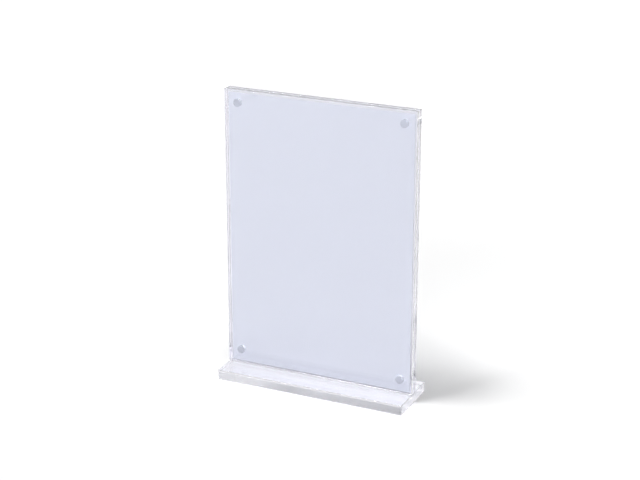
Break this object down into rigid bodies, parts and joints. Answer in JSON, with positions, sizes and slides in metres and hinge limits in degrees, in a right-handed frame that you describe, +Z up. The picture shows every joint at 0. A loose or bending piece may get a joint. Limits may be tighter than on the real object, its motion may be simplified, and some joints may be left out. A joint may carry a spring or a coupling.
{
  "type": "photo album stand",
  "caption": "Free-standing T-shaped photo stand: two clear acrylic panels clamp one sheet of card with corner magnets, on a clear base bar.",
  "frame": {"origin": "middle of the base bar's underside", "axes": "+Z up, the front of the stand faces -Y, +X along the panels' width"},
  "size_m": [0.152, 0.046, 0.2258],
  "materials": {
    "clear_acrylic": "polished",
    "card": "matte",
    "nickel_plate": "satin"
  },
  "bodies": {
    "stand": {"base_bar": "clear_acrylic", "back_panel": "clear_acrylic", "back_magnet_top_left": "nickel_plate", "back_magnet_top_right": "nickel_plate", "back_magnet_bottom_left": "nickel_plate", "back_magnet_bottom_right": "nickel_plate"},
    "front_cover": {"front_panel": "clear_acrylic", "front_magnet_top_left": "nickel_plate", "front_magnet_top_right": "nickel_plate", "front_magnet_bottom_left": "nickel_plate", "front_magnet_bottom_right": "nickel_plate"},
    "insert": {"photo_insert": "card"}
  },
  "joints": [
    {"name": "front_panel_pull", "type": "slide", "parent": "stand", "child": "front_cover", "axis": [0, -1, 0], "range_m": [0, 0.06]},
    {"name": "insert_lift", "type": "slide", "parent": "stand", "child": "insert", "axis": [0, 0, 1], "range_m": [0, 0.22]}
  ]
}
